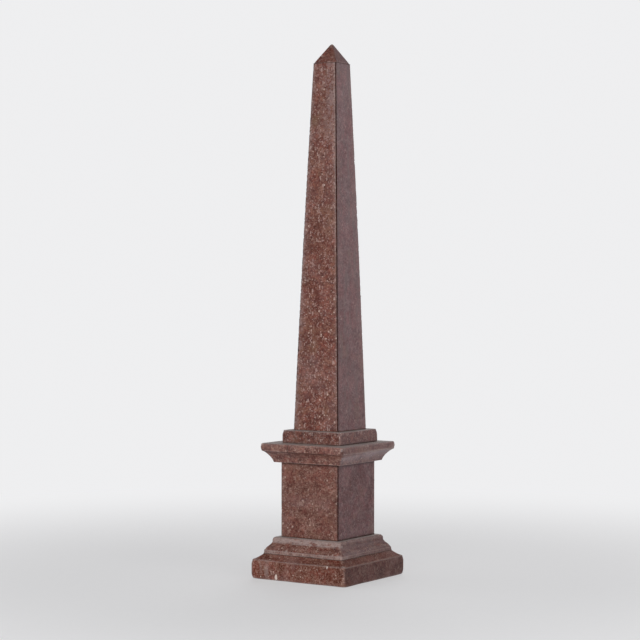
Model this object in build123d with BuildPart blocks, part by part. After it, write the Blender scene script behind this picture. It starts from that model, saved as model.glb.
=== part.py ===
"""Table obelisk of red porphyry: a tapering square shaft with a pyramidion, on a moulded square pedestal.

The plinth, the base moulding, the cornice, the step under the shaft and the pyramidion are solid blocks of
porphyry. The die and the shaft are cores of common stone faced with four sawn slabs, mitred at the corners, and
the mitres are filled with dark mastic. Thin beds of the same mastic join the blocks one on another.

Frame: millimetres, +Z up, origin at the centre of the underside. The front face looks along -Y.
"""

from build123d import *

import os
from math import sqrt

# ---- plinth ----
plinth_width = 124.6
plinth_face_height = 21.0
wash_height = 6.1  # the sloped shoulder, from the plinth's face up to its seat
wash_hollow = 0.5
plinth_shoulder_radius = 1.6  # the rounded arris between the plinth's face and its wash

# ---- base moulding ----
lower_fillet_width = 104.9
lower_fillet_height = 3.7
ogee_height = 8.5
ogee_foot_set_back = 0.5  # the little step over the lower fillet
ogee_swell = 0.3  # how far each half of the ogee leaves a straight slope
upper_fillet_width = 90.8
upper_fillet_height = 5.8
upper_fillet_radius = 3.2  # its top edge is worked to a round

# ---- die ----
die_width = 76.4
die_height = 82.8
die_slab_thickness = 6.0

# ---- cornice ----
cornice_foot_width = 88.8
cornice_width = 110.2
cove_height = 13.2
cove_hollow = 1.9
cornice_fillet_height = 8.1

# ---- step under the shaft ----
step_width = 77.7
step_height = 13.8

# ---- shaft ----
shaft_foot_width = 59.4
shaft_top_width = 30.4
shaft_height = 409.4
shaft_slab_thickness = 5.0
shaft_swell = 0.55  # how far each face stands out from a straight taper at half its height
shaft_offset_x = 1.5  # the step and the shaft were cemented a little off the pedestal's centre
shaft_offset_y = 1.5
shaft_lean_x = 1.3  # how far its head stands over from its foot
shaft_lean_y = 0.9

# ---- pyramidion ----
pyramidion_height = 22.0
tip_width = 3.6
tip_chamfer = 0.8

# ---- joints and edges ----
bed_thickness = 0.5
bed_recess = 0.8
mitre_gap = 1.0  # width of the mastic seam at a mitred corner
mitre_recess = 0.15
eased_edge = 0.8  # radius of the rubbed-down edges of the blocks

# ---- levels, worked out from the heights ----
plinth_top = plinth_face_height + wash_height
moulding_foot = plinth_top + bed_thickness
ogee_foot = moulding_foot + lower_fillet_height
ogee_top = ogee_foot + ogee_height
moulding_top = ogee_top + upper_fillet_height
die_foot = moulding_top + bed_thickness
die_top = die_foot + die_height
cornice_foot = die_top + bed_thickness
cove_top = cornice_foot + cove_height
cornice_top = cove_top + cornice_fillet_height
step_foot = cornice_top + bed_thickness
step_top = step_foot + step_height
shaft_foot = step_top + bed_thickness
shaft_top = shaft_foot + shaft_height
pyramidion_foot = shaft_top + bed_thickness
pyramidion_top = pyramidion_foot + pyramidion_height

mitre_cut = mitre_gap / sqrt(2)  # what a seam takes off a slab's face, measured along the face

SIDES = {"front": 0, "right": 90, "back": 180, "left": 270}
CORNERS = (45, 135, 225, 315)

os.makedirs("parts", exist_ok=True)


def save(part, name):
    """Labels a finished piece and writes it as the node of that name."""
    part.label = name
    export_step(part, f"parts/{name}.step")


def pedestal_plane(height):
    """Level plane on the pedestal's axis."""
    return Plane((0, 0, height))


def shaft_plane(height):
    """Level plane on the shaft's own axis, which leans a little from the shaft's foot up."""
    share = max(0.0, (height - shaft_foot) / shaft_height)
    return Plane((shaft_offset_x + shaft_lean_x * share, shaft_offset_y + shaft_lean_y * share, height))


def turned(plane, angle):
    """The same level plane with its own X turned by an angle, in degrees."""
    return plane.rotated((0, 0, angle))


# ---- solid blocks ----


def make_plinth():
    """Square plinth: an upright face, then a hollow wash that rises to the seat of the base moulding."""
    face = plinth_width / 2
    seat = lower_fillet_width / 2
    with BuildSketch(Plane.XZ) as section:
        with BuildLine():
            Polyline((0, plinth_top), (0, 0), (face, 0), (face, plinth_face_height))
            SagittaArc((face, plinth_face_height), (seat, plinth_top), wash_hollow)
            Line((seat, plinth_top), (0, plinth_top))
        make_face()
        outer = section.vertices().group_by(Axis.X)[-1].sort_by(Axis.Y)
        fillet(outer[0], eased_edge)
        fillet(outer[-1], plinth_shoulder_radius)
        mirror(about=Plane.YZ)
    with BuildPart() as plinth:
        extrude(section.sketch, amount=face, both=True)
        extrude(section.sketch.rotate(Axis.Z, 90), amount=face, both=True, mode=Mode.INTERSECT)
    save(plinth.part, "plinth")


def make_base_moulding():
    """Base moulding: lower fillet, an ogee that draws in, and an upper fillet that carries the die."""
    low = lower_fillet_width / 2
    high = upper_fillet_width / 2
    foot = (low - ogee_foot_set_back, ogee_foot)
    top = (high, ogee_top)
    middle = ((foot[0] + top[0]) / 2, (foot[1] + top[1]) / 2)
    with BuildSketch(Plane.XZ) as section:
        with BuildLine():
            Polyline((0, moulding_top), (0, moulding_foot), (low, moulding_foot), (low, ogee_foot), foot)
            SagittaArc(foot, middle, -ogee_swell)
            SagittaArc(middle, top, ogee_swell)
            Polyline(top, (high, moulding_top), (0, moulding_top))
        make_face()
        fillet(section.vertices().group_by(Axis.Y)[-1].sort_by(Axis.X)[-1], upper_fillet_radius)
        mirror(about=Plane.YZ)
    with BuildPart() as moulding:
        extrude(section.sketch, amount=low, both=True)
        extrude(section.sketch.rotate(Axis.Z, 90), amount=low, both=True, mode=Mode.INTERSECT)
    save(moulding.part, "base_moulding")


def make_cornice():
    """Cornice: a hollow cove that spreads out from the die's head to a plain fillet with a flat top."""
    foot = cornice_foot_width / 2
    face = cornice_width / 2
    with BuildSketch(Plane.XZ) as section:
        with BuildLine():
            Polyline((0, cornice_top), (0, cornice_foot), (foot, cornice_foot))
            SagittaArc((foot, cornice_foot), (face, cove_top), cove_hollow)
            Polyline((face, cove_top), (face, cornice_top), (0, cornice_top))
        make_face()
        fillet(section.vertices().group_by(Axis.Y)[-1].sort_by(Axis.X)[-1], eased_edge)
        mirror(about=Plane.YZ)
    with BuildPart() as cornice:
        extrude(section.sketch, amount=face, both=True)
        extrude(section.sketch.rotate(Axis.Z, 90), amount=face, both=True, mode=Mode.INTERSECT)
    save(cornice.part, "cornice")


def make_step():
    """Plain square step between the cornice and the shaft."""
    with BuildPart() as step:
        with BuildSketch(shaft_plane(step_foot)):
            Rectangle(step_width, step_width)
        extrude(amount=step_height)
        fillet(step.edges().filter_by(Axis.Z), eased_edge)
        fillet(step.edges().group_by(Axis.Z)[-1], eased_edge)
    save(step.part, "shaft_step")


def make_pyramidion():
    """Small solid pyramid on the head of the shaft, with a blunt, worn tip."""
    with BuildPart() as pyramidion:
        with BuildSketch(shaft_plane(pyramidion_foot)):
            Rectangle(shaft_top_width, shaft_top_width)
        with BuildSketch(shaft_plane(pyramidion_top)):
            Rectangle(tip_width, tip_width)
        loft()
        chamfer(pyramidion.edges().group_by(Axis.Z)[-1], tip_chamfer)
    save(pyramidion.part, "pyramidion")


# ---- faced blocks: a core, four mitred slabs and the mastic seams at their corners ----


def slab_outline(half_width, thickness):
    """Plan of the front slab at one level, cut back at both mitres for the seams."""
    inner = half_width - thickness
    return [
        (mitre_cut - half_width, -half_width),
        (half_width - mitre_cut, -half_width),
        (inner - mitre_cut, -inner),
        (mitre_cut - inner, -inner),
    ]


def make_slabs(name, plane_at, levels):
    """The four facing slabs. levels holds the (height, width, slab thickness) from the block's foot up."""
    for side, angle in SIDES.items():
        with BuildPart() as slab:
            for height, width, thickness in levels:
                with BuildSketch(turned(plane_at(height), angle)):
                    Polygon(*slab_outline(width / 2, thickness), align=None)
            loft()
        save(slab.part, f"{name}_slab_{side}")


def make_core(name, plane_at, levels):
    """The straight-sided core behind the slabs, its corners cut off where the seams start."""
    with BuildPart() as core:
        for height, width, thickness in (levels[0], levels[-1]):
            core_width = width - 2 * thickness
            with BuildSketch(plane_at(height)) as plan:
                Rectangle(core_width, core_width)
                chamfer(plan.vertices(), mitre_cut)
        loft()
    save(core.part, f"{name}_core")


def make_seams(name, plane_at, levels):
    """The four mastic seams, each from the core's cut corner out to just inside the slabs' edges."""
    with BuildPart() as seams:
        for angle in CORNERS:
            for height, width, thickness in levels:
                inner = (width - 2 * thickness - mitre_cut) / sqrt(2)
                outer = (width - mitre_cut) / sqrt(2) - mitre_recess
                with BuildSketch(turned(plane_at(height), angle)):
                    with Locations(((inner + outer) / 2, 0)):
                        Rectangle(outer - inner, mitre_gap)
            loft()
    save(seams.part, f"{name}_corner_seams")


def make_faced_block(name, plane_at, levels):
    """A core with its four slabs and their corner seams."""
    make_slabs(name, plane_at, levels)
    make_core(name, plane_at, levels)
    make_seams(name, plane_at, levels)


def die_levels():
    """The die is as wide at its head as at its foot."""
    return [(height, die_width, die_slab_thickness) for height in (die_foot, die_top)]


def shaft_levels():
    """The shaft tapers, and its slabs are left thicker in the middle, which gives its faces their swell."""
    middle = (shaft_foot + shaft_top) / 2
    straight_width = (shaft_foot_width + shaft_top_width) / 2
    return [
        (shaft_foot, shaft_foot_width, shaft_slab_thickness),
        (middle, straight_width + 2 * shaft_swell, shaft_slab_thickness + shaft_swell),
        (shaft_top, shaft_top_width, shaft_slab_thickness),
    ]


# ---- mastic beds ----


def make_bed(name, plane, width):
    """Thin square bed of mastic, set back from the narrower of the two blocks that it joins."""
    with BuildPart() as bed:
        with BuildSketch(plane):
            Rectangle(width - 2 * bed_recess, width - 2 * bed_recess)
        extrude(amount=bed_thickness)
    save(bed.part, f"bed_under_{name}")


make_plinth()
make_bed("base_moulding", pedestal_plane(plinth_top), lower_fillet_width)
make_base_moulding()
make_bed("die", pedestal_plane(moulding_top), die_width)
make_faced_block("die", pedestal_plane, die_levels())
make_bed("cornice", pedestal_plane(die_top), die_width)
make_cornice()
make_bed("step", shaft_plane(cornice_top), step_width)
make_step()
make_bed("shaft", shaft_plane(step_top), shaft_foot_width)
make_faced_block("shaft", shaft_plane, shaft_levels())
make_bed("pyramidion", shaft_plane(shaft_top), shaft_top_width)
make_pyramidion()
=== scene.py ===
"""Looks of the porphyry table obelisk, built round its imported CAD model, in metres.

Every stone that shows is replaced by a finer mesh of the same size, with eased, nicked and slightly uneven
edges and a procedural porphyry. The mastic between the stones shows in their corner seams and bed joints.
"""

from math import cos, pi, radians, sin, sqrt

import bpy
import numpy as np
from mathutils import Matrix, Vector, noise
from numpy.linalg import norm


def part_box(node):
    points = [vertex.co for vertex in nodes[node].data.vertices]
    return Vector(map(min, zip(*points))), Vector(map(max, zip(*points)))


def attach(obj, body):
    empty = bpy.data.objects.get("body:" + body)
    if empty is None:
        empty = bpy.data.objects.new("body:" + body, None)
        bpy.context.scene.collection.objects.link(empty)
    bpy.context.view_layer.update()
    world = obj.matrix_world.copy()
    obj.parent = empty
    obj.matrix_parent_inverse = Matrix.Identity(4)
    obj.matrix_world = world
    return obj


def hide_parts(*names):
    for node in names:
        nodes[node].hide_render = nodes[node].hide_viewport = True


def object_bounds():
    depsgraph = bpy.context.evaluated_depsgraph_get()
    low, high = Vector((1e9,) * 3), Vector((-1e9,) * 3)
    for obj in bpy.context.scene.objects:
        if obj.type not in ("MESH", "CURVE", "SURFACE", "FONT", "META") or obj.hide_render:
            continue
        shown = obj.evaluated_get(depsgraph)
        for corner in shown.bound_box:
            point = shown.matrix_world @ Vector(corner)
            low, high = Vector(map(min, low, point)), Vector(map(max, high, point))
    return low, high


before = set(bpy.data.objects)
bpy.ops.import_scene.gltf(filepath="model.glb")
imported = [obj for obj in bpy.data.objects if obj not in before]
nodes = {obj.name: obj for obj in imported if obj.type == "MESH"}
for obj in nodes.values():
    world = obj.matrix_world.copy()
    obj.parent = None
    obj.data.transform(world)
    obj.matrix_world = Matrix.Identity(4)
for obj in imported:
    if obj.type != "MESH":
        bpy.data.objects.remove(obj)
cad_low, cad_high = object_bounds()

MM = 0.001
noise.seed_set(1)  # without a seed, noise_vector differs from run to run

# ---- the blocks' finish, in millimetres ----
profile_step = 0.5  # spacing of the points along a moulding's profile
edge_ease = 0.42  # how far an arris is rubbed down
square_arris_move = 0.4  # how far easing moves a square arris, as a share of its reach
bloom_reach = 1.5  # how far from an arris the stone is rubbed pale
corner_reach = 3.0  # how far from a level arris the upright arrises are rounder
largest_corner = 0.6  # of an upright arris, as a share of the half width there
column_step = 0.72  # spacing of the points along a block's sides
ledge_width = 22.0  # how far in from its edge a block's top is meshed finely
ledge_rows = 16
ledge_crowding = 1.3  # over 1, it draws a ledge's rows together near its edge
end_return = 1.5  # how far in under a block the mesh's first ring stands
unevenness = 0.30  # how far hand-cut mouldings stray from true
unevenness_length = 22.0
broken_paleness = 2.5  # wear for each millimetre broken off a stone

# ---- the slabs' and the mastic's finish, in millimetres ----
slab_row_step = 0.75
slab_edge_offsets = np.array([0.0, 0.2, 0.42, 0.7, 1.1, 1.7, 2.5, 3.6, 5.0])
slab_columns_between = 9
mitre_steps = np.array([0.08, 0.25, 0.55])[:, None]  # where points stand along a mitre, as shares of it
mitre_cut = 0.707  # what a seam takes off a slab's face, measured along the face
slab_arris_radius = 1.6  # of the faced block's upright arrises, which the seams cut through
slab_bloom_reach = 2.6
slab_dirt_reach = 2.0
seam_stain_reach = 0.7  # how far the mastic stains the stone beside it
end_dirt_reach = 1.7
seam_columns = 5
seam_unevenness = 0.35
bed_corner_radius = 0.3
bed_hollow = 0.12  # how much deeper a bed lies at half its height
bed_unevenness = 0.22

# what is painted on the stones' points, from 0 to 1
# dirt is dirt and painted shade; wear and bleach_and_sheen also hold a painted sheen
PAINTS = ("wear", "dirt", "bleach_and_sheen", "brown", "inclusion")

# a square's corners on plan, counter-clockwise from the front left, and its sides from the front
CORNERS = ((-1, -1), (1, -1), (1, 1), (-1, 1))
SIDES = ((0, -1), (1, 0), (0, 1), (-1, 0))

# ---- nicks: (spacing along an edge, smallest radius, largest radius, depth as a share of the radius) ----
FINE = (4.5, 0.5, 1.2, 0.36)
COARSE = (28.0, 1.2, 2.8, 0.36)
ARRIS = (6.5, 0.5, 1.5, 0.36)
nick_roughness = 0.22  # how far a nick's inside strays from a sphere, as a share of its radius
nick_search = 1.25  # no nick reaches further than this share of its radius
nick_lumps = 2.1  # how close its lumps are
nick_change = 0.37  # how fast they change along the stone


# ---- shapes, in millimetres ----


def measures_of(node):
    """A square CAD node's half width, its upright axis, and its foot's and head's heights."""
    low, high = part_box(node)
    axis = np.array([(low.x + high.x) / 2, (low.y + high.y) / 2]) / MM
    return (high.x - low.x) / 2 / MM, axis, low.z / MM, high.z / MM


def vertices_of(node):
    """A CAD node's corner points."""
    mesh = nodes[node].data
    points = np.empty(len(mesh.vertices) * 3)
    mesh.vertices.foreach_get("co", points)
    return points.reshape(-1, 3) / MM


def mitre_profile(node):
    """A moulded block's half width, and its profile as (half width, height) points, read from a mitre."""
    tolerance = 0.005
    points = vertices_of(node)
    mitre = points[(np.abs(points[:, 0] - points[:, 1]) < tolerance) & (points[:, 0] > 0)]
    profile = np.unique(mitre[:, [0, 2]].round(4), axis=0)
    return profile[:, 0].max(), profile[np.lexsort((-profile[:, 0], profile[:, 1]))]


def near(distance, reach):
    """1 at no distance, fading to next to nothing at twice the reach."""
    return np.exp(-((distance / reach) ** 2))


def ramp(values, start, reach):
    """0 up to the start, rising evenly to 1 over the reach."""
    return np.clip((values - start) / reach, 0, 1)


def ripple(points, scale, shift=0.0):
    """Smooth noise from about -1 to 1 at each point, once scaled and shifted."""
    return np.array([noise.noise(Vector(p)) for p in points * scale + shift])


def resampled(line, step):
    """The same line of points with a point about every step, its corners kept."""
    points = [line[0]]
    for start, end in zip(line[:-1], line[1:]):
        count = max(1, round(norm(end - start) / step))
        for i in range(1, count + 1):
            points.append(start + (end - start) * i / count)
    return np.array(points)


def eased(line, reach):
    """A line of evenly spaced points, averaged so that its corners are rounded off and its ends kept."""
    end_hold = 0.05
    along = np.concatenate(([0], np.cumsum(norm(np.diff(line, axis=0), axis=1))))
    apart = along[:, None] - along[None, :]
    from_end = np.minimum(along, along[-1] - along)
    weights = near(apart, reach)
    weights *= np.exp(-0.5 * (apart / (from_end[:, None] + end_hold)) ** 2)
    return (weights @ line) / weights.sum(axis=1, keepdims=True)


def curl(line, reach):
    """How far each point of a profile stands out, up to 1 at a square arris, or -1 in a square corner."""
    tangent = np.gradient(line, axis=0)
    tangent /= norm(tangent, axis=1)[:, None]
    outward = np.column_stack((tangent[:, 1], -tangent[:, 0]))
    moved = eased(line, reach) - line
    return np.clip(-(moved * outward).sum(axis=1) / (square_arris_move * reach), -1, 1)


def square_ring(half, radius, straight):
    """Points round a square with rounded corners, counter-clockwise from the front side's left end."""
    arc_points = 3
    flat = half - radius
    side = [(x, -half) for x in np.linspace(-flat, flat, straight + 1)]
    for i in range(1, arc_points):
        angle = -pi / 2 + pi / 2 * i / arc_points
        side.append((flat + radius * cos(angle), -flat + radius * sin(angle)))
    turns = []
    for quarter in range(4):
        turn = quarter * pi / 2
        spin = np.array([[cos(turn), -sin(turn)], [sin(turn), cos(turn)]])
        turns.append(np.array(side) @ spin.T)
    return np.concatenate(turns)


def rings_to_mesh(rings):
    """Points and faces of a closed skin over a stack of rings with as many points each."""
    count = len(rings[0])
    faces = []
    for row in range(len(rings) - 1):
        below, above = row * count, (row + 1) * count
        for i in range(count):
            j = (i + 1) % count
            faces.append((below + i, below + j, above + j, above + i))
    faces.append(tuple(reversed(range(count))))
    last = (len(rings) - 1) * count
    faces.append(tuple(range(last, last + count)))
    return np.concatenate(rings), faces


def wander(points, length, seed):
    """A smooth random push for each point, of about one unit at most, that changes over a length."""
    shift = Vector((seed * 7.31, seed * 3.17, seed * 5.93))
    return np.array([noise.noise_vector(Vector(p) / length + shift) for p in points])


class Nicks:
    """Small scoops broken out of a stone's edges. level and rising go round the node's axis."""

    def __init__(self, seed, node=None):
        self.random = np.random.default_rng(seed)
        self.axis = measures_of(node)[1] if node else None
        self.scoops = []

    def add(self, point, outward, radius, depth):
        """One scoop at a point on an edge. outward points away from the stone, across the edge."""
        outward = np.array(outward, float) / norm(outward)
        self.scoops.append((np.array(point, float) + outward * (radius - depth), radius))

    def along(self, start, end, outward, kinds):
        """Scoops of each kind strewn along a straight edge."""
        for spacing, small, large, share in kinds:
            for _ in range(self.random.poisson(norm(end - start) / spacing)):
                place = start + (end - start) * self.random.random()
                radius = small + (large - small) * self.random.random() ** 2
                depth = radius * share * self.random.uniform(0.5, 1.2)
                self.add(place, outward, radius, depth)

    def corners(self, half, z):
        """The corners of a square round the axis at one height."""
        x, y = self.axis
        return [np.array([x + half * sx, y + half * sy, z]) for sx, sy in CORNERS]

    def level(self, half, z, up, *kinds):
        """Scoops along a square's four level arrises. up says how much they face up or down."""
        corners = self.corners(half, z)
        for start, end, side in zip(corners, corners[1:] + corners[:1], SIDES):
            self.along(start, end, (*side, up), kinds)

    def rising(self, low_half, low_z, high_half, high_z, *kinds):
        """Scoops along the four arrises that rise from one square to another."""
        low, high = self.corners(low_half, low_z), self.corners(high_half, high_z)
        for start, end, corner in zip(low, high, CORNERS):
            self.along(start, end, (*corner, 0), kinds)

    def cut(self, points):
        """The points with those in a scoop pushed onto its rough inside, and the wear that this gives."""
        cut = points.copy()
        for centre, radius in self.scoops:
            apart = cut - centre
            distance = norm(apart, axis=1)
            for i in np.nonzero(distance < radius * nick_search)[0]:
                direction = apart[i] / distance[i]
                rough = noise.noise(Vector(direction * nick_lumps + centre * nick_change))
                reach = radius * (1 + nick_roughness * rough)
                if distance[i] < reach:
                    cut[i] = centre + direction * reach
        return cut, norm(cut - points, axis=1) * broken_paleness


def new_object(name, data):
    thing = bpy.data.objects.new(name, data)
    bpy.context.scene.collection.objects.link(thing)
    return thing


def add_piece(name, points, faces, replaced, paints=None, spread=0.0):
    """Makes a piece from points in millimetres, clipped to the box of the CAD node it replaces.

    paints gives PAINTS their amounts on every point. spread is how far past the box it may reach sideways.
    """
    low, high = (np.array(corner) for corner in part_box(replaced))
    sideways = np.array([spread, spread, 0.0]) * MM
    mesh = bpy.data.meshes.new(name)
    mesh.from_pydata(np.clip(points * MM, low - sideways, high + sideways).tolist(), [], faces)
    mesh.polygons.foreach_set("use_smooth", [len(face) == 4 for face in faces])
    for paint in PAINTS if paints else ():
        values = np.clip(np.zeros(len(points)) + paints.get(paint, 0.0), 0, 1).astype(np.float32)
        mesh.attributes.new(paint, "FLOAT", "POINT").data.foreach_set("value", values)
    mesh.validate()
    piece = new_object(name, mesh)
    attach(piece, "root")
    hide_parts(replaced)
    return piece


def square_block(name, profile, seed, nicks, corner, arrises, extra, corner_wear=0.35, ledge=True):
    """A block with four like sides from its profile of (half width, height), with worn edges.

    corner gives the radius of its upright arrises, and how much larger it is at the heights in arrises,
    where they meet its level arrises. extra gives more paint for the points, from their places.
    """
    foot_half, foot_z = profile[0]
    true_line = resampled(np.concatenate(([(foot_half - end_return, foot_z)], profile)), profile_step)
    line = eased(true_line, edge_ease)
    stand_out = curl(true_line, bloom_reach)
    radii = np.full(len(line), corner[0])
    for level in arrises:
        radii = radii + corner[1] * near(true_line[:, 1] - level, corner_reach)
    if ledge:
        top_half, top_z = line[-1]
        inward = ledge_width * (np.arange(1, ledge_rows + 1) / ledge_rows) ** ledge_crowding
        line = np.concatenate((line, [(top_half - value, top_z) for value in inward]))
        stand_out = np.concatenate((stand_out, stand_out[-1] * near(inward, bloom_reach)))
        radii = np.append(radii, np.full(ledge_rows, radii[-1]))
    straight = round(2 * line[:, 0].max() / column_step)
    rings, wear, dirt = [], [], []
    for (half, z), stands, radius in zip(line, stand_out, radii):
        plan = square_ring(half, min(radius, half * largest_corner), straight)
        rings.append(np.column_stack((plan + nicks.axis, np.full(len(plan), z))))
        at_corner = near(half - np.abs(plan).min(axis=1), bloom_reach) * corner_wear
        wear.append(1 - (1 - at_corner) * (1 - max(0.0, stands)))
        # painted shade: the profile's hollows and inner corners are darkened
        dirt.append(np.full(len(plan), max(0.0, -stands)))
    points, faces = rings_to_mesh(rings)
    points = points + wander(points, unevenness_length, seed) * unevenness
    cut, broken = nicks.cut(points)
    paints = {"wear": np.concatenate(wear) + broken, "dirt": np.concatenate(dirt)}
    for paint, amount in extra(points).items():
        paints[paint] = paints.get(paint, 0.0) + amount
    return add_piece(name + "_stone", cut, faces, name, paints)


def marks_on(points, marks):
    """Paint for marks in the stone, each a (centre, (reach along X, Y and Z), amount)."""
    paint = np.zeros(len(points))
    for centre, reach, amount in marks:
        apart = (points - np.array(centre)) / np.array(reach)
        paint += amount * np.exp(-((apart**2).sum(axis=1) ** 1.5))
    return paint


def marker(**marks):
    """What gives a block's points the paint of its marks."""
    return lambda points: {paint: marks_on(points, places) for paint, places in marks.items()}


def plinth():
    """The plinth, with the wear of its foot and the rounded shoulder over its face."""
    half, profile = mitre_profile("plinth")
    _, _, low, high = measures_of("plinth")
    shoulder = profile[profile[:, 0] > half - 0.1][-1][1]
    nicks = Nicks(11, "plinth")
    nicks.level(half, low, -0.7, FINE, COARSE)
    nicks.level(half - 0.4, shoulder + 0.9, 0.8, FINE)
    nicks.rising(half, low, half, shoulder, FINE, COARSE)
    nicks.add((-half, -half, high - 22), (-1, -1, 0.2), 2.4, 0.8)

    # white inclusions and pale streaks in the front, and a pale front left corner
    inclusions = (
        ((-28.1, -half, 3.7), (1.6, 2.0, 3.2), 1.5),
        ((39.5, -half, 20.0), (1.0, 2.4, 1.7), 1.2),
        ((-48.7, -half, 2.6), (0.9, 2.0, 1.1), 0.8),
    )
    streaks = (
        ((-41.0, -half, 10.5), (3.2, 2.0, 10.5), 0.55),
        ((-48.7, -half, 13.0), (1.5, 2.0, 7.0), 0.35),
        ((-half, -half, 1.0), (6.0, 6.0, 2.5), 0.6),
        ((-half, -half, 12.0), (2.5, 2.5, 12.0), 0.4),
    )
    marked = marker(inclusion=inclusions, wear=streaks)
    return square_block("plinth", profile, 1, nicks, (1.8, 3.2), (low, shoulder), marked)


def base_moulding():
    """The base moulding, with a chip out of the lower fillet's front left corner."""
    half, profile = mitre_profile("base_moulding")
    low = profile[:, 1].min()
    fillet_top = profile[profile[:, 0] > half - 0.01][-1][1]
    top_half, top_z = profile[-1]
    upper_foot = top_z - 7.2
    nicks = Nicks(12, "base_moulding")
    nicks.level(half, fillet_top, 1.0, FINE, COARSE)
    nicks.level(half, low, -1.0, FINE)
    nicks.level(top_half + 1.2, top_z - 0.8, 1.0, FINE)
    nicks.rising(half, low, top_half + 2.0, top_z, FINE, FINE)
    nicks.add((-half, -half, fillet_top - 0.6), (-1, -1, 0.7), 2.2, 0.9)
    nicks.add((-half + 3.4, -half, fillet_top), (-0.2, -1, 0.8), 1.7, 0.6)

    # pale chips at the lower fillet's front corners
    marks = (
        ((-half, -half, fillet_top - 1.0), (3.0, 3.0, 2.4), 1.3),
        ((half - 3.5, -half, fillet_top - 0.5), (4.0, 2.0, 2.0), 0.9),
    )

    def paler_fillets(points):
        """Both fillets are paler, most along the front, and the upper one most of all at its left."""
        x, y, z = points.T
        patchy = ripple(points, (0.14, 0.14, 0.45))
        on_upper = ramp(z, upper_foot, 2.0) * np.clip(0.95 + 2.2 * patchy, 0.1, 1.2)
        on_lower = ramp(-z, -fillet_top - 0.3, 0.6) * np.clip(0.9 + 1.2 * patchy, 0, 1.2)
        on_front = ramp(-y, top_half - 3.0, 2.0)
        left_end = 1 - ramp(x, -half, 90.0)
        wear = on_upper * (0.10 + (1.25 + 0.60 * left_end) * on_front) + on_lower * (0.12 + 0.42 * on_front)
        return {"wear": wear + marks_on(points, marks)}

    arrises = (fillet_top, top_z)
    return square_block("base_moulding", profile, 2, nicks, (1.4, 1.4), arrises, paler_fillets, 0.5)


def cornice():
    """The cornice, its thin fillet nicked all round."""
    half, profile = mitre_profile("cornice")
    fillet_foot = profile[profile[:, 0] > half - 0.01][0][1]
    foot_half, foot_z = profile[0]
    top_z = profile[-1][1]
    nicks = Nicks(13, "cornice")
    nicks.level(half, top_z, 1.0, FINE, COARSE)
    nicks.level(half, fillet_foot, -0.8, FINE, COARSE)
    nicks.level(foot_half, foot_z, -1.0, FINE)
    nicks.rising(half, fillet_foot, half, top_z, FINE)
    nicks.rising(foot_half, foot_z, half, fillet_foot, FINE)

    # painted sheen: the fillet's lower arris and its back end are pale on the right side, a highlight of the
    # polish
    # the top's front corners are paler, and on the front the lower arris is less pale than elsewhere
    streaks = (
        ((half, half * 0.5, fillet_foot), (2.5, 40.0, 1.5), 0.9),
        ((half, half, fillet_foot), (7.0, 9.0, 6.0), 0.9),
        ((half, -half, top_z), (2.0, 2.0, 1.2), 0.5),
        ((-half, -half, top_z), (8.0, 8.0, 4.0), 0.3),
        ((18.0, -half, fillet_foot), (40.0, 2.5, 1.6), -0.8),
    )
    # dirt on the front right corner and down a healed crack, and a painted shadow in the hollow under the
    # front's fillet
    stains = (
        ((half, -half, fillet_foot + 1.0), (1.8, 2.4, 7.0), 0.6),
        ((18.0, -half + 1.6, fillet_foot - 1.2), (38.0, 2.6, 1.7), 0.55),
        ((-17.6, -half, fillet_foot + 4.0), (0.9, 2.0, 5.5), 0.9),
        ((-18.6, -half + 4.5, fillet_foot - 5.0), (0.9, 5.5, 6.5), 0.9),
    )
    marked = marker(wear=streaks, dirt=stains)
    return square_block("cornice", profile, 3, nicks, (1.6, 3.0), (fillet_foot, top_z), marked, 0.15)


def shaft_step():
    """The step under the shaft, with its broken front left corner."""
    half, (x, y), low, high = measures_of("shaft_step")
    nicks = Nicks(14, "shaft_step")
    nicks.level(half, high, 1.0, FINE, COARSE)
    nicks.level(half, low, -1.0, FINE)
    nicks.rising(half, low, half, high, FINE)
    nicks.add((x - half, y - half, high), (-1, -1, 1.2), 4.6, 2.2)
    nicks.add((x - half + 2.6, y - half, high), (-0.3, -1, 1.0), 2.4, 0.9)

    def dirty_foot(points):
        """A painted shadow darkens the step's foot, where it stands on the cornice, but for the front."""
        on_front = ramp(y - points[:, 1], half - 1.0, 0.8)
        return {"dirt": near(points[:, 2] - low, 1.3) * (1.0 - 0.85 * on_front)}

    # the profile goes a little way in over the top, so that the upper arris is eased too
    profile = np.array([(half, low), (half, high), (half - end_return, high)])
    return square_block("shaft_step", profile, 4, nicks, (1.4, 3.6), (high,), dirty_foot)


def pyramidion():
    """The pyramidion, its hips rubbed and its tip blunt."""
    tip_half = 1.5
    half, (x, y), low, high = measures_of("pyramidion")
    profile = np.array([(half, low), (tip_half, high - 0.6), (tip_half * 0.4, high)])
    nicks = Nicks(15, "pyramidion")
    nicks.level(half, low, -0.2, FINE)
    nicks.rising(half, low, tip_half, high, FINE)
    nicks.add((x - 0.8, y - 0.9, high), (-0.6, -0.8, 1.2), 2.0, 0.9)
    nicks.add((x + 1.1, y - 0.2, high - 0.8), (1, 0.1, 0.7), 1.8, 0.6)

    def dull_tip(points):
        """The tip is weathered to a dull grey-brown."""
        at_tip = marks_on(points, (((x, y, high), (4.0, 4.0, 4.0), 1.2),))
        return {"bleach_and_sheen": at_tip, "brown": 0.6 * at_tip}

    return square_block("pyramidion", profile, 5, nicks, (1.4, 1.2), (low,), dull_tip, 0.15, ledge=False)


def outline_of(points, outward):
    """A prism's plan at its foot and at its head: outer left, outer right, inner right, inner left."""
    points = np.unique(points.round(4), axis=0)
    z = points[:, 2]
    along = np.array([-outward[1], outward[0]])
    outlines = []
    for level in (z.min(), z.max()):
        plan = points[np.abs(z - level) < 0.01]
        off = (plan - plan.mean(axis=0))[:, :2]
        is_outer = off @ outward > 0
        is_right = off @ along > 0
        order = [
            np.nonzero((is_outer == outer) & (is_right == right))[0][0]
            for outer, right in ((True, False), (True, True), (False, True), (False, False))
        ]
        outlines.append(plan[order])
    return outlines


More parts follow.
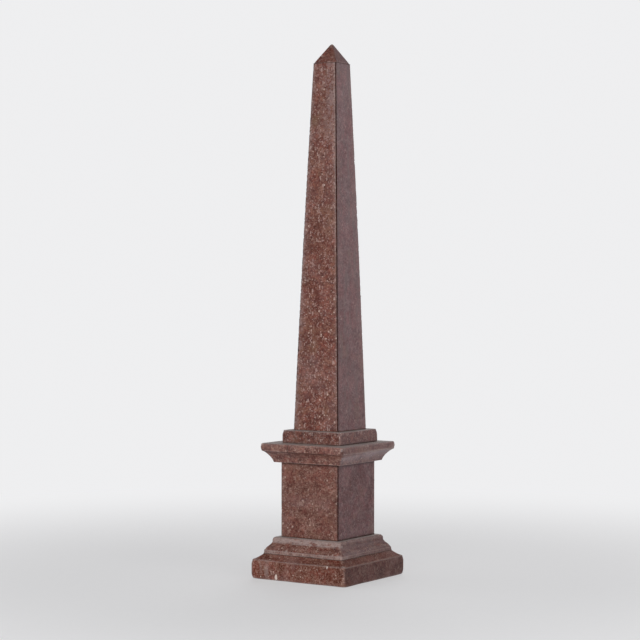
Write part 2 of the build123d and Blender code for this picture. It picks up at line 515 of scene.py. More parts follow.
def swept(points, outward):
    """A prism's outline at each row from its foot to its head, and how far its face bulges out there."""
    foot, head = outline_of(points, outward)
    rise = head[0] - foot[0]
    straight = foot[0][:2] @ outward + rise[:2] @ outward * (points[:, 2] - foot[0][2]) / rise[2]
    swell = (points[:, :2] @ outward - straight).max()
    rows = round(rise[2] / slab_row_step)
    shares = [row / rows for row in range(rows + 1)]
    return [(foot + (head - foot) * share, swell * 4 * share * (1 - share)) for share in shares]


def arris_drop(offset):
    """How far a slab's face falls away near its arris, where the seam has cut off the round's middle."""
    reach = np.clip(slab_arris_radius - mitre_cut - offset, 0, None)
    return slab_arris_radius - np.sqrt(slab_arris_radius**2 - reach**2)


def arris_paint(amounts, reach, from_arris, rings):
    """Paint that fades away from a slab's arrises. amounts gives (foot, head) for the left and the right."""
    fade = np.exp(-((from_arris / reach) ** 1.5))
    is_left = np.arange(len(from_arris)) < len(from_arris) / 2
    height = np.linspace(0, 1, len(rings))
    paint = np.zeros((len(rings), len(rings[0])))
    for (at_foot, at_head), columns in zip(amounts, (is_left, ~is_left)):
        amount = at_foot + (at_head - at_foot) * height
        paint[:, : len(from_arris)] += amount[:, None] * (fade * columns)[None, :]
    return paint.ravel()


def facing_slab(node, outward, seed, worn_and_sheen, dirty=((0.0, 0.0),) * 2, dirty_ends=(0.0, 0.0), extra=None):
    """A mitred facing slab with rounded, nicked arrises.

    worn_and_sheen and darkened give each arris, left and right, how much it has at its foot and at its head,
    and dirty_ends the painted shade along its foot and its head. extra gives more paint, as in square_block.
    """
    outlines = swept(vertices_of(node), outward)
    foot, head = outlines[0][0], outlines[-1][0]
    out = np.append(outward, 0)
    along = (foot[1] - foot[0]) / norm(foot[1] - foot[0])
    rings = []
    for (outer_left, outer_right, inner_right, inner_left), bulge in outlines:
        outer_left = outer_left + bulge * (out - along)
        outer_right = outer_right + bulge * (out + along)
        width = norm(outer_right - outer_left)
        edge = slab_edge_offsets + arris_drop(0.0) * (1 - slab_edge_offsets / slab_edge_offsets[-1])
        between = np.linspace(edge[-1], width - edge[-1], slab_columns_between + 2)[1:-1]
        offsets = np.concatenate((edge, between, width - edge[::-1]))
        outer = outer_left + along * offsets[:, None]
        from_arris = np.minimum(offsets, width - offsets)
        outer[:, :2] -= outward * arris_drop(from_arris)[:, None]
        right = outer[-1] + (inner_right - outer[-1]) * mitre_steps
        left = inner_left + (outer[0] - inner_left) * (1 - mitre_steps[::-1])
        rings.append(np.concatenate((outer, right, [inner_right, inner_left], left)))
    points, faces = rings_to_mesh(rings)
    nicks = Nicks(seed)
    for corner, side in ((0, -1), (1, 1)):
        nicks.along(foot[corner], head[corner], out + along * side, (ARRIS, FINE, COARSE))
    cut, broken = nicks.cut(points)
    stain = arris_paint(((1.0, 1.0), (1.0, 1.0)), seam_stain_reach, from_arris, rings)
    patchy = ripple(points[:, [1, 0, 2]], (0.0, 0.1, 0.4), (seed, 0.0, 0.0))
    dirt = arris_paint(dirty, slab_dirt_reach, from_arris, rings) + stain * np.clip(0.75 + 0.9 * patchy, 0, 1)
    # painted shade along the slab's foot and head, where it meets the blocks below and above
    for end, amount in zip((foot[0][2], head[0][2]), dirty_ends):
        dirt = dirt + amount * near(points[:, 2] - end, end_dirt_reach)
    paints = {"wear": arris_paint(worn_and_sheen, slab_bloom_reach, from_arris, rings) + broken, "dirt": dirt}
    if extra:
        paints.update(extra(points))
    return add_piece(node + "_stone", cut, faces, node, paints)


def shaft_blemishes_and_sheen(points):
    """Bleach and painted sheen high on the shaft, most at its right, a bleached left arris, brown stains high
    up.
    """
    x, _, z = points.T
    _, _, foot, head = measures_of("shaft_core")
    foot_half, head_half = (measures_of("bed_under_" + above)[0] for above in ("shaft", "pyramidion"))
    share = ramp(z, foot, head - foot)
    half = foot_half * (1 - share) + head_half * share
    across = np.clip((x - 2.0) / half, -1, 1)
    bleach_and_sheen = ramp(share, 0.56, 0.36) * (0.36 + 0.62 * across)
    bleach_and_sheen = np.maximum(bleach_and_sheen, 0.75 * near((1 + across) * half, 4.2))
    stains = (
        ((-7.6, -24.0, 511.0), (5.5, 20.0, 7.0), 0.8),
        ((-1.0, -24.0, 516.0), (2.2, 20.0, 5.0), 0.5),
    )
    return {"bleach_and_sheen": bleach_and_sheen, "brown": marks_on(points, stains)}


def corner_seams(node, seed):
    """The four mastic seams of a faced block, their outer faces crumbled unevenly."""
    vertices = vertices_of(node)
    side_signs = np.sign(vertices - vertices.mean(axis=0))
    all_points = []
    all_faces = []
    for sx, sy in CORNERS:
        here = vertices[(side_signs[:, 0] == sx) & (side_signs[:, 1] == sy)]
        outward = np.array([sx, sy]) / sqrt(2)
        rings = []
        for (outer_left, outer_right, inner_right, inner_left), bulge in swept(here, outward):
            bulge = bulge * np.append(outward, 0)
            outer_left, outer_right = outer_left + bulge, outer_right + bulge
            z = outer_left[2]
            ring = [inner_left]
            for side in np.linspace(0, 1, seam_columns):
                lumps = noise.noise(Vector((side * 0.6, z * 0.22, seed + sx * 3.1 + sy * 5.7)))
                crumbs = noise.noise(Vector((side * 2.0, z * 1.4, seed - sx * 2.3 + sy * 1.9)))
                sunk = seam_unevenness * max(0.0, 1.1 + lumps * 1.6 + crumbs * 0.5)
                point = outer_left + (outer_right - outer_left) * side
                point[:2] -= outward * sunk
                ring.append(point)
            rings.append(np.array(ring + [inner_right]))
        ring_points, ring_faces = rings_to_mesh(rings)
        start = sum(len(p) for p in all_points)
        all_points.append(ring_points)
        all_faces.extend(tuple(i + start for i in face) for face in ring_faces)
    return add_piece(node + "_mastic", np.concatenate(all_points), all_faces, node)


def mastic_bed(name, half, set_back, seed):
    """A bed of mastic between two blocks, set back from half on the front, right, back and left."""
    _, axis, low, high = measures_of(name)
    plan = square_ring(half, bed_corner_radius, round(2 * half / column_step))
    side = np.arange(len(plan)) // (len(plan) // 4)
    depth = np.array(set_back)[side]
    rings = []
    for share, hollow in ((0.0, 0.0), (0.5, bed_hollow), (1.0, 0.0)):
        points = np.column_stack((plan, np.full(len(plan), low + (high - low) * share)))
        uneven = bed_unevenness * ripple(points, 0.35, (seed, 0.0, 0.0))
        inset = np.clip(depth + hollow + uneven, 0.02, None)
        points[:, :2] *= (1 - inset / half)[:, None]
        points[:, :2] += axis
        rings.append(points)
    points, faces = rings_to_mesh(rings)
    return add_piece(name + "_mastic", points, faces, name, spread=2.0)


# ---- materials ----


class Graph:
    """Makes and joins the nodes of one material or world."""

    def __init__(self, tree):
        self.tree = tree
        tree.nodes.clear()

    def add(self, kind, inputs=None, **settings):
        """A new node. Each of its inputs gets a value, or a link to another node's output."""
        node = self.tree.nodes.new("ShaderNode" + kind)
        for key, value in settings.items():
            setattr(node, key, value)
        for key, value in (inputs or {}).items():
            if isinstance(value, bpy.types.NodeSocket):
                self.tree.links.new(value, node.inputs[key])
            else:
                node.inputs[key].default_value = value
        return node

    def math(self, operation, a, b=0.0, clamp=False):
        return self.add("Math", {0: a, 1: b}, operation=operation, use_clamp=clamp).outputs[0]

    def times(self, a, b, clamp=False):
        return self.math("MULTIPLY", a, b, clamp)

    def vector(self, operation, a, b=(0.0, 0.0, 0.0), output="Vector"):
        return self.add("VectorMath", {0: a, 1: b}, operation=operation).outputs[output]

    def part(self, vector, axis):
        return self.add("SeparateXYZ", {0: vector}).outputs[axis]

    def paint(self, name):
        """The amount of one of PAINTS on the mesh."""
        return self.add("Attribute", attribute_name=name).outputs["Fac"]

    def between(self, value, low, high, low_out=0.0, high_out=1.0, kind="SMOOTHSTEP"):
        """A value mapped from one range to another and held inside it."""
        inputs = {"Value": value, "From Min": low, "From Max": high, "To Min": low_out, "To Max": high_out}
        return self.add("MapRange", inputs, interpolation_type=kind).outputs["Result"]

    def mix(self, share, a, b, blend="MIX"):
        a, b = ((*colour, 1.0) if isinstance(colour, tuple) else colour for colour in (a, b))
        return self.add("Mix", {0: share, 6: a, 7: b}, data_type="RGBA", blend_type=blend).outputs[2]

    def noise(self, place, size, detail=2.0, roughness=0.5, output="Fac"):
        """Smooth noise from 0 to 1 with grains of the given size, in the place's own unit."""
        inputs = {"Vector": place, "Scale": 1 / size, "Detail": detail, "Roughness": roughness}
        return self.add("TexNoise", inputs).outputs[output]

    def end(self, shader, kind="OutputMaterial"):
        """Joins a shader to the material's or the world's output."""
        self.add(kind, {"Surface": shader.outputs[0]})

    def matter(self, colour, roughness, height, bump, sockets):
        """Gives the material its shader. bump is how strong its relief is, and how deep, in metres."""
        strength, distance = bump
        relief = self.add("Bump", {"Height": height, "Strength": strength, "Distance": distance})
        look = {"Base Color": colour, "Roughness": roughness, "Normal": relief.outputs["Normal"]}
        self.end(self.add("BsdfPrincipled", {**look, **sockets}))


def new_material(name):
    material = bpy.data.materials.new(name)
    material.use_nodes = True
    return material, Graph(material.node_tree)


def stone_place(g, shift, turn=(0.0, 0.0, 0.0), stretch=(1.0, 1.0, 1.0)):
    """Coordinates in the stone, in millimetres, moved, turned and stretched."""
    place = g.add("TexCoord").outputs["Object"]
    scale = tuple(value / MM for value in stretch)
    inputs = {"Vector": place, "Location": shift, "Rotation": turn, "Scale": scale}
    return g.add("Mapping", inputs, vector_type="POINT").outputs["Vector"]


def crystals(g, place, size, rarity, fill, metric):
    """How far a point lies in one of a layer of crystals, from 0 to 1, and a random number for the crystal.

    The crystals grow in Voronoi cells of the given size. rarity is the share of cells that stay empty, and
    fill is how far the largest crystals reach out from their cells' middles, in sizes.
    """
    cells = g.add("TexVoronoi", {"Vector": place, "Scale": 1 / size}, distance=metric)
    split = g.add("SeparateColor", {"Color": cells.outputs["Color"]})
    present = g.between(split.outputs[0], rarity, rarity + 0.06)
    reach = g.between(split.outputs[1], 0.0, 1.0, fill * 0.45, fill, "LINEAR")
    body = g.between(g.math("SUBTRACT", reach, cells.outputs["Distance"]), 0.0, 0.10)
    return g.times(body, present), split.outputs[2]


def patches(g, place, main, other):
    """Noise of two kinds, each (size, detail, roughness), with more of the first."""
    main = g.times(g.noise(place, *main), 0.6)
    return g.math("ADD", main, g.times(g.noise(place, *other), 0.4))


# (ground where it is red, ground where it is dull, dark grains, pale crystals from dull to bright, glints)
RED_STONE = (
    (0.168, 0.045, 0.028),
    (0.163, 0.059, 0.037),
    (0.068, 0.013, 0.008),
    ((0.270, 0.140, 0.110), (0.505, 0.350, 0.312)),
    (0.62, 0.47, 0.40),
)
TAN_STONE = (
    (0.166, 0.056, 0.038),
    (0.156, 0.070, 0.049),
    (0.070, 0.022, 0.014),
    ((0.255, 0.134, 0.105), (0.400, 0.262, 0.215)),
    (0.48, 0.34, 0.285),
)
# painted sheen: the side slabs' stone, greyer and purpler, as veiled by the polish's reflection
SHEEN_VEILED_STONE = (
    (0.168, 0.066, 0.062),
    (0.152, 0.079, 0.075),
    (0.080, 0.030, 0.028),
    ((0.215, 0.126, 0.118), (0.340, 0.236, 0.220)),
    (0.33, 0.225, 0.21),
)
# painted sheen: the flat colour toward which the blocks' left and right faces are evened out
SHEEN_VEILED_SIDE_STONE = (0.152, 0.080, 0.076)
STREAK_STONE = (0.128, 0.094, 0.084)
MOTTLE_DARK = (0.58, 0.36, 0.31)
MOTTLE_PALE = (1.44, 1.62, 1.70)
WORN_AND_SHEEN_STONE = (0.420, 0.330, 0.306)
HEALED_CRACK = (0.36, 0.26, 0.22)
INCLUSION = (0.68, 0.58, 0.52)
DIRT_AND_SHADE_STONE = (0.045, 0.018, 0.014)
BLEACHED_AND_SHEEN_STONE = (0.276, 0.184, 0.171)
BROWN_STONE = (0.165, 0.085, 0.045)
DUST_AND_SHEEN = (0.56, 0.515, 0.490)

# how much of the stone's own colour each covers where it is strongest
brown_cover = 0.25
crack_cover = 0.4
wear_cover = 0.75
dirt_cover = 0.8
dust_and_sheen_cover = 0.75

# the stone's mottling: (size, strength)
MOTTLING = ((1.9, 0.95), (4.2, 0.50), (13.0, 0.50))
# layers of pale feldspar, two of laths that lie different ways and one of fine grains:
# (turn, stretch, size, rarity, fill, metric, strength)
FELDSPAR = (
    ((0.1, 0.2, 0.1), (1.0, 1.0, 0.5), 2.5, 0.50, 0.42, "CHEBYCHEV", 0.68),
    ((1.3, 0.2, 0.8), (0.6, 1.0, 1.0), 2.0, 0.38, 0.44, "CHEBYCHEV", 0.58),
    ((0.0, 0.0, 0.0), (1.0, 1.0, 0.75), 1.5, 0.34, 0.46, "EUCLIDEAN", 0.52),
)
# layers of dark hornblende: (size, rarity, fill, strength)
HORNBLENDE = ((2.6, 0.55, 0.38, 0.50), (1.7, 0.48, 0.42, 0.60))
# a few bright glints, less bent than the rest: (size, rarity, fill), strength and share of the bend
GLINTS = (3.3, 0.84, 0.37)
glint_strength = 0.85
glint_bend = 0.45
crystal_bend = 2.4  # how far the crystals' outlines are bent, in millimetres


def stone_colour(g, place, warp, shift, tones, contrast):
    """The stone's colour before wear, and where its pale crystals lie."""
    red, dull, dark, (dull_crystal, bright_crystal), glint = tones
    ground = patches(g, place, (15.0, 3.0, 0.6), (4.5, 2.0, 0.5))
    colour = g.mix(g.between(ground, 0.42, 0.58), dull, red)
    bent = g.vector("ADD", place, warp)

    def strewn(body, strength, grain):
        return g.mix(g.times(body, strength * contrast, clamp=True), colour, grain)

    # redder where it is darker, greyer where it is paler
    for size, strength in MOTTLING:
        mottle = g.between(g.noise(place, size, 2.0, 0.6), 0.30, 0.70)
        shade = g.mix(mottle, MOTTLE_DARK, MOTTLE_PALE)
        colour = g.mix(min(1.0, strength * contrast), colour, g.mix(1.0, colour, shade, "MULTIPLY"))

    pale = None
    for turn, stretch, size, rarity, fill, metric, strength in FELDSPAR:
        layer_place = g.vector("ADD", stone_place(g, shift, turn, stretch), warp)
        body, tint = crystals(g, layer_place, size, rarity, fill, metric)
        colour = strewn(body, strength, g.mix(g.between(tint, 0.2, 1.0), dull_crystal, bright_crystal))
        pale = body if pale is None else g.math("MAXIMUM", pale, body)
    for size, rarity, fill, strength in HORNBLENDE:
        body, _ = crystals(g, bent, size, rarity, fill, "MINKOWSKI")
        colour = strewn(body, strength, dark)
    a_little = g.vector("MULTIPLY", warp, (glint_bend,) * 3)
    body, _ = crystals(g, g.vector("ADD", place, a_little), *GLINTS, "EUCLIDEAN")
    return strewn(body, glint_strength, glint), g.math("MAXIMUM", pale, body)


def porphyry(
    name, seed, tones=RED_STONE, shade=1.0, contrast=1.0, clouds=0.3, side=(0.0, 1.0), streaks=0.0, polish=0.5
):
    """Polished porphyry: pale feldspar and dark grains in a red-brown ground, clouded and worn.

    shade makes the whole block lighter or darker. side gives the painted sheen and shade of its left and
    right
    faces: how far they are evened out, and their shade. streaks is how much is drawn out in upright grey
    streaks.
    polish is how much it reflects.
    """
    material, g = new_material(name)
    shift = tuple(np.random.default_rng(seed).uniform(-400, 400, 3))
    place = stone_place(g, shift)
    warp = g.vector("SUBTRACT", g.noise(place, 3.2, 3.0, output="Color"), (0.5,) * 3)
    warp = g.vector("MULTIPLY", warp, (crystal_bend,) * 3)
    colour, pale = stone_colour(g, place, warp, shift, tones, contrast)
    colour = g.mix(1.0, colour, (shade,) * 3, "MULTIPLY")
    if streaks:
        drawn_out = g.noise(stone_place(g, shift, stretch=(1.0, 1.0, 0.12)), 5.0)
        colour = g.mix(g.between(drawn_out, 0.48, 0.66, 0.0, streaks), colour, STREAK_STONE)
    # painted sheen and shade: the left and right faces, found by the normal, are evened out and made darker
    # or lighter
    sheen_evenness, side_shade = side
    geometry = g.add("NewGeometry")
    if sheen_evenness:
        across = g.math("ABSOLUTE", g.part(geometry.outputs["True Normal"], "X"))
        sheen_veiled_colour = tuple(value * side_shade for value in SHEEN_VEILED_SIDE_STONE)
        shaded = g.mix(sheen_evenness, g.mix(1.0, colour, (side_shade,) * 3, "MULTIPLY"), sheen_veiled_colour)
        colour = g.mix(g.between(across, 0.5, 0.85), colour, shaded)
    brown = g.between(g.noise(place, 26.0, 3.0, 0.55), 0.56, 0.66, 0.0, brown_cover)
    colour = g.mix(g.math("MAXIMUM", brown, g.paint("brown")), colour, BROWN_STONE)

    # clouds: paler, greyer stone in large soft patches, the painted bleach and sheen, and a few thin healed
    # cracks
    cloud_and_sheen = g.times(g.between(g.noise(place, 30.0, 5.0, 0.6), 0.50, 0.72), clouds)
    patchy = g.between(patches(g, place, (2.4, 2.0, 0.5), (9.0, 2.0, 0.5)), 0.43, 0.57)
    cloud_and_sheen = g.math("MAXIMUM", cloud_and_sheen, g.times(g.paint("bleach_and_sheen"), patchy))
    colour = g.mix(cloud_and_sheen, colour, BLEACHED_AND_SHEEN_STONE)
    crack = g.math("ABSOLUTE", g.math("SUBTRACT", g.noise(place, 22.0, 5.0, 0.55), 0.5))
    fade = g.between(g.noise(place, 40.0, 1.0), 0.52, 0.62)
    crack = g.times(g.between(crack, 0.0, 0.0035, 1.0, 0.0), fade)
    colour = g.mix(g.times(crack, crack_cover), colour, HEALED_CRACK)

    # rubbed and broken edges are paler and matt, some with a painted sheen, and dirt and painted shade darken
    # corners
    rough_edge = g.noise(place, 1.8, 3.0, 0.7)
    # wear: worn and broken stone, and a painted sheen on the cornice's right side
    worn_and_sheen = g.times(g.paint("wear"), g.between(rough_edge, 0.3, 0.6, 0.45, 1.0))
    colour = g.mix(g.times(worn_and_sheen, wear_cover), colour, WORN_AND_SHEEN_STONE)
    # dirt and stains, and painted shade in hollows, under the cornice's fillet, along block ends and at the
    # step's foot
    colour = g.mix(g.times(g.paint("dirt"), dirt_cover), colour, DIRT_AND_SHADE_STONE)
    inclusion = g.times(g.paint("inclusion"), g.between(rough_edge, 0.3, 0.7, 0.55, 1.35))
    colour = g.mix(g.between(inclusion, 0.30, 0.70), colour, INCLUSION)
    # dust lies on the level ledges, with painted light that makes them paler
    dust_and_sheen = g.between(g.part(geometry.outputs["Normal"], "Z"), 0.90, 0.98, 0.0, dust_and_sheen_cover)
    dust_and_sheen = g.times(dust_and_sheen, g.between(rough_edge, 0.3, 0.6, 0.6, 1.0))
    colour = g.mix(dust_and_sheen, colour, DUST_AND_SHEEN)

    # polish: satin, with a rougher bloom where the stone is clouded or worn
    bloom = g.between(g.noise(place, 12.0, 4.0), 0.35, 0.7, 0.0, 0.10)
    roughness = g.math("ADD", g.between(worn_and_sheen, 0.0, 1.0, 0.30, 0.60), bloom)
    roughness = g.math("ADD", roughness, g.times(pale, 0.05))
    roughness = g.math("ADD", roughness, g.times(dust_and_sheen, 0.30), clamp=True)

    # bump: shallow pits and the crystals' slightly different height
    pits, _ = crystals(g, g.vector("ADD", place, warp), 1.9, 0.78, 0.26, "EUCLIDEAN")
    relief = g.math("SUBTRACT", g.times(pale, 0.25), pits)
    grain = g.times(g.noise(place, 0.7, 3.0, 0.7), 0.35)
    swell = g.times(g.noise(place, 9.0), 1.2)
    height = g.math("ADD", g.math("ADD", relief, grain), swell)
    g.matter(colour, roughness, height, (0.35, 0.00012), {"IOR": 1.54, "Specular IOR Level": polish})
    return material


def matt(name, shift, grain, span, shades, roughness, bump, specular):
    """A matt, grainy material between two shades. grain is its noise's (size, detail, roughness)."""
    material, g = new_material(name)
    lumps = g.noise(stone_place(g, shift), *grain)
    colour = g.mix(g.between(lumps, *span), *shades)
    g.matter(colour, roughness, lumps, bump, {"Specular IOR Level": specular})
    return material


def mastic(name, *shades):
    """Filled mastic: matt and crumbly."""
    return matt(name, (12.0, 40.0, 7.0), (1.6, 4.0, 0.7), (0.35, 0.68), shades, 0.9, (0.6, 0.0003), 0.05)


def core_stone():
    """Common grey stone, sawn: it lies behind the slabs and isn't seen."""
    shades = ((0.20, 0.19, 0.17), (0.34, 0.32, 0.29))
    return matt("core_stone", (3.0, 8.0, 5.0), (1.0, 5.0, 0.65), (0.3, 0.7), shades, 0.85, (0.5, 0.0003), 0.5)


# ---- stage ----

backdrop_colour = (0.86, 0.86, 0.87)
horizon_light = 0.50  # the ambient light from round about and from overhead
overhead_light = 0.12
side_wall_heading = radians(33.5)  # from +Y towards +X
side_wall_way = (sin(side_wall_heading), cos(side_wall_heading), 0.0)
front_wall_way = (-sin(side_wall_heading), -cos(side_wall_heading), 0.0)
room_reflection = 0.22  # how bright the room looks in the polish, but for two bright walls
front_wall_reflection = 0.48
side_wall_reflection = 0.95
wall_top = (0.45, 0.75)  # where the walls fade out, as sines of the angle over eye level
reflection_tint = (0.90, 0.86, 0.94)
floor_reach = 12.0
floor_drop = 0.0002  # how far under the object the floor lies
floor_fade = (0.25, 0.95)  # where the floor starts to fade into the backdrop, and where it ends
floor_paper = ((0.74, 0.74, 0.75), (0.78, 0.78, 0.79))
floor_glow = (0.96, 0.96, 0.97)
floor_glow_share = 0.42  # how much of the floor's look doesn't depend on the lamps


def studio_world():
    """A pale backdrop all round. The polish mirrors a dimmer room with two bright walls."""
    world = bpy.data.worlds.new("studio")
    world.use_nodes = True
    bpy.context.scene.world = world
    g = Graph(world.node_tree)
    direction = g.add("TexCoord").outputs["Generated"]
    rise = g.part(direction, "Z")

    def wall(way, edge, foot, brightness):
        """A wall that fades in over its edge and its foot, from brightness[0] to brightness[1]."""
        towards = g.vector("DOT_PRODUCT", direction, way, "Value")
        lit = g.times(g.between(towards, *edge), g.between(rise, *foot, *brightness))
        return g.times(lit, g.between(rise, *wall_top, 1.0, 0.0))

    # the wall that the front face mirrors starts over eye level
    front_wall = wall(front_wall_way, (0.3, 0.8), (0.02, 0.26), (0.0, front_wall_reflection))
    side_wall = wall(side_wall_way, (0.50, 0.90), (-0.22, 0.10), (0.15, side_wall_reflection))
    reflected = g.math("MAXIMUM", g.math("MAXIMUM", front_wall, side_wall), room_reflection)
    ambient = g.between(rise, 0.0, 0.9, horizon_light, overhead_light)
    path = g.add("LightPath")
    level = g.add("Mix", {0: path.outputs["Is Glossy Ray"], 2: ambient, 3: reflected})
    level = g.add("Mix", {0: path.outputs["Is Camera Ray"], 2: level.outputs[0], 3: 1.0})
    colour = g.mix(path.outputs["Is Glossy Ray"], backdrop_colour, reflection_tint)
    g.end(g.add("Background", {"Color": colour, "Strength": level.outputs[0]}), "OutputWorld")


def floor():
    """A plain pale floor that fades into the backdrop."""
    # painted reflection in the polish: (from, to, level there, level there), for a dark foot and a bright
    # ground beyond it
    painted_reflection_levels = ((0.12, 0.55, 0.90, 0.20), (1.20, 2.00, 0.20, 0.65))
    mesh = bpy.data.meshes.new("floor")
    corners = [(floor_reach * x, floor_reach * y, cad_low.z - floor_drop) for x, y in CORNERS]
    mesh.from_pydata(corners, [], [(0, 1, 2, 3)])
    new_object("floor", mesh)
    material, g = new_material("floor")
    path = g.add("LightPath")
    place = g.add("TexCoord").outputs["Object"]
    away = g.vector("LENGTH", place, output="Value")
    grain = g.noise(place, 0.01, 4.0, 0.6)
    paper = g.add("BsdfPrincipled", {"Base Color": g.mix(grain, *floor_paper), "Roughness": 0.75})
    glow = g.add("Emission", {"Color": (*floor_glow, 1.0)})
    backdrop = g.add("Emission", {"Color": (*backdrop_colour, 1.0)})
    # the floor's look in the polish is a painted reflection, a glow that is dimmer away from the side wall
    side = g.vector("DOT_PRODUCT", g.vector("NORMALIZE", place), side_wall_way, "Value")
    mirrored = g.math("MAXIMUM", *(g.between(away, *levels) for levels in painted_reflection_levels))
    mirrored = g.add("Mix", {0: g.between(side, 0.1, 0.7), 2: room_reflection, 3: mirrored}).outputs[0]
    mirrored = g.add("Emission", {"Color": (*reflection_tint, 1.0), "Strength": mirrored})

    def blend(share, first, second):
        return g.add("MixShader", {0: share, 1: first.outputs[0], 2: second.outputs[0]})

    seen = path.outputs["Is Camera Ray"]
    near_floor = blend(g.times(seen, floor_glow_share), paper, glow)
    far_floor = blend(g.times(g.between(away, *floor_fade), seen), near_floor, backdrop)
    g.end(blend(path.outputs["Is Glossy Ray"], far_floor, mirrored))
    mesh.materials.append(material)


def soft_light(name, heading, elevation, distance, size, power, height=0.3, mirrored=True):
    """A square soft light aimed at a height on the object, its heading from -Y towards +X, in degrees.

    mirrored says whether the polish shows it.
    """
    lamp = bpy.data.lights.new(name, "AREA")
    lamp.shape = "SQUARE"
    lamp.size = size
    lamp.energy = power
    light = new_object(name, lamp)
    a, e = radians(heading), radians(elevation)
    towards = Vector((sin(a) * cos(e), -cos(a) * cos(e), sin(e)))
    light.location = Vector((0.0, 0.0, height)) + towards * distance
    light.rotation_euler = towards.to_track_quat("Z", "Y").to_euler()
    light.visible_camera = False
    light.visible_glossy = mirrored


def studio_camera():
    """A long lens a little over the object's middle, off its front right corner."""
    location = Vector((1.17557, -1.79276, 0.32758))
    yaw, pitch, roll = 33.5034, -1.0527, 0.0571  # in degrees
    turns = ((yaw, "Z"), (90 + pitch, "X"), (roll, "Z"))
    data = bpy.data.cameras.new("camera")
    data.sensor_width = 36.0
    data.lens = 107.264
    data.clip_start = 0.05
    camera = new_object("camera", data)
    camera.matrix_world = Matrix.Translation(location)
    for angle, axis in turns:
        camera.matrix_world = camera.matrix_world @ Matrix.Rotation(radians(angle), 4, axis)
    bpy.context.scene.camera = camera


# ---- putting it together ----


def finish_with(piece, material):
    piece.data.materials.clear()
    piece.data.materials.append(material)


# each solid block: what makes it, its stone's name, seed, tones, shade and contrast, and the rest of its look
# side in a look is the painted sheen and shade of the block's left and right faces
for make, stone, seed, tones, shade, contrast, look in (
    (plinth, "plinth", 101, TAN_STONE, 1.02, 1.05, {"clouds": 0.35, "side": (0.25, 0.65), "polish": 0.10}),
    (base_moulding, "moulding", 102, TAN_STONE, 0.94, 1.4, {"side": (0.15, 0.74), "polish": 0.35}),
    (cornice, "cornice", 103, TAN_STONE, 1.08, 1.4, {"side": (0.2, 0.85), "polish": 0.8}),
    (shaft_step, "step", 104, RED_STONE, 0.72, 1.9, {"side": (0.25, 1.10), "polish": 0.6}),
    (pyramidion, "pyramidion", 105, RED_STONE, 0.86, 1.0, {"clouds": 0.1, "side": (0.4, 1.0)}),
):
    finish_with(make(), porphyry("porphyry_" + stone, seed, tones, shade, contrast, **look))

# each kind of face: its stone's look, and its wear and sheen, darkened arrises and painted shade at its ends
# the die's dirty_ends is a painted shadow along its head, under the cornice, and painted shade at its foot
broad_die_face = (
    {"tones": TAN_STONE},
    {"worn_and_sheen": ((0.25, 0.25), (0.05, 0.05)), "dirty": ((0.0, 0.0), (0.1, 0.1)), "dirty_ends": (0.1, 1.0)},
)
# the die's side faces: a painted sheen, with less contrast, and painted shade, darker
side_die_face = (
    {"tones": SHEEN_VEILED_STONE, "contrast": 0.8, "shade": 0.86},
    {"worn_and_sheen": ((0.0, 0.0), (0.30, 0.30)), "dirty": ((0.3, 0.1), (0.0, 0.0)), "dirty_ends": (0.8, 0.8)},
)
broad_shaft_face = (
    {"contrast": 1.25, "shade": 0.92},
    {"worn_and_sheen": ((0.10, 0.35), (0.15, 0.60)), "extra": shaft_blemishes_and_sheen},
)
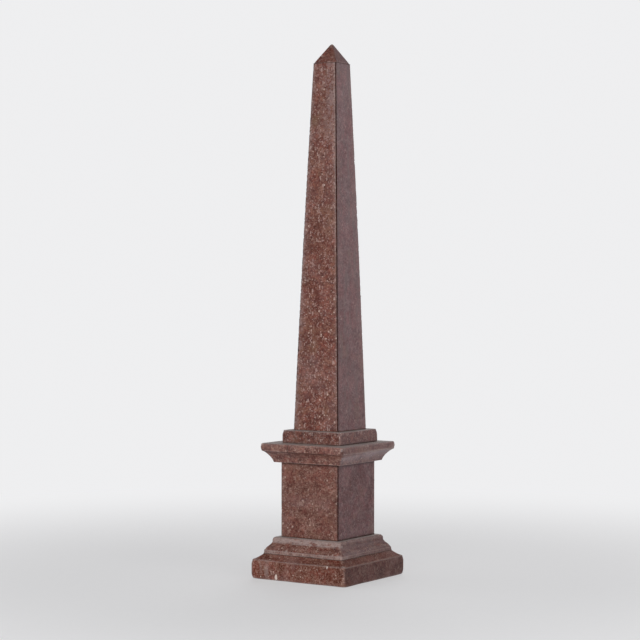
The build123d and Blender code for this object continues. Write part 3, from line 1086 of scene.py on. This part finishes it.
# the shaft's side faces: a painted sheen, with less contrast
side_shaft_face = (
    {"tones": SHEEN_VEILED_STONE, "contrast": 0.7, "streaks": 0.45},
    {"worn_and_sheen": ((0.0, 0.0), (0.40, 0.45)), "dirty": ((0.75, 0.10), (0.0, 0.0))},
)
faced_blocks = (("die", broad_die_face, side_die_face), ("shaft", broad_shaft_face, side_shaft_face))
slab_seed = 20
for block, broad_face, side_face in faced_blocks:
    for side, outward, (look, shape) in (
        ("front", (0, -1), broad_face),
        ("back", (0, 1), broad_face),
        ("right", (1, 0), side_face),
        ("left", (-1, 0), side_face),
    ):
        node = f"{block}_slab_{side}"
        slab = facing_slab(node, np.array(outward), slab_seed, **shape)
        finish_with(slab, porphyry("porphyry_" + node, 200 + slab_seed, **look))
        slab_seed += 1

dark_mastic = mastic("dark_mastic", (0.022, 0.0055, 0.0045), (0.062, 0.017, 0.013))
stone_mastic = mastic("stone_mastic", (0.060, 0.030, 0.024), (0.130, 0.078, 0.064))
pale_mastic = mastic("pale_mastic", (0.16, 0.10, 0.085), (0.27, 0.20, 0.17))
finish_with(corner_seams("die_corner_seams", 31), dark_mastic)
finish_with(corner_seams("shaft_corner_seams", 32), dark_mastic)

# each bed, by what lies on it: the node it is set back from, or its own place, how far, and its mastic
beds = {
    "base_moulding": ("base_moulding", (0.15, 0.15, 0.2, 0.2), stone_mastic),
    "die": (None, (0.2, 0.5, 0.3, 0.4), stone_mastic),
    "cornice": (None, (0.7, 0.6, 0.7, 0.6), dark_mastic),
    "step": ("shaft_step", (0.25, 0.9, 0.4, 0.7), stone_mastic),
    "shaft": (None, (0.1, 0.5, 0.2, 0.4), pale_mastic),
    "pyramidion": (None, (0.1, 0.1, 0.1, 0.1), stone_mastic),
}
cad_bed_recess = 0.8  # how far a CAD bed is set back itself
for bed_seed, (above, (edge, set_back, filling)) in enumerate(beds.items(), 50):
    bed = "bed_under_" + above
    half = measures_of(edge)[0] if edge else measures_of(bed)[0] + cad_bed_recess
    finish_with(mastic_bed(bed, half, set_back, bed_seed), filling)
hidden_stone = core_stone()
for name in ("die_core", "shaft_core"):
    finish_with(nodes[name], hidden_stone)

studio_world()
floor()
# each lamp: name, heading, elevation, distance, size and power
soft_light("key", 24.0, 4.0, 2.4, 1.5, 27.8)
soft_light("low_front", 5.0, -3.0, 1.2, 0.3, 2.6, height=0.14)
soft_light("right", 80.0, 12.0, 1.1, 0.6, 2.5, height=0.42)
soft_light("left", -75.0, 8.0, 2.6, 1.6, 12.0)
soft_light("rear", -150.0, 14.0, 2.6, 1.6, 22.0, mirrored=False)
soft_light("back", 187.0, 14.0, 2.6, 1.2, 15.0, mirrored=False)
studio_camera()
bpy.context.scene.view_settings.view_transform = "Standard"
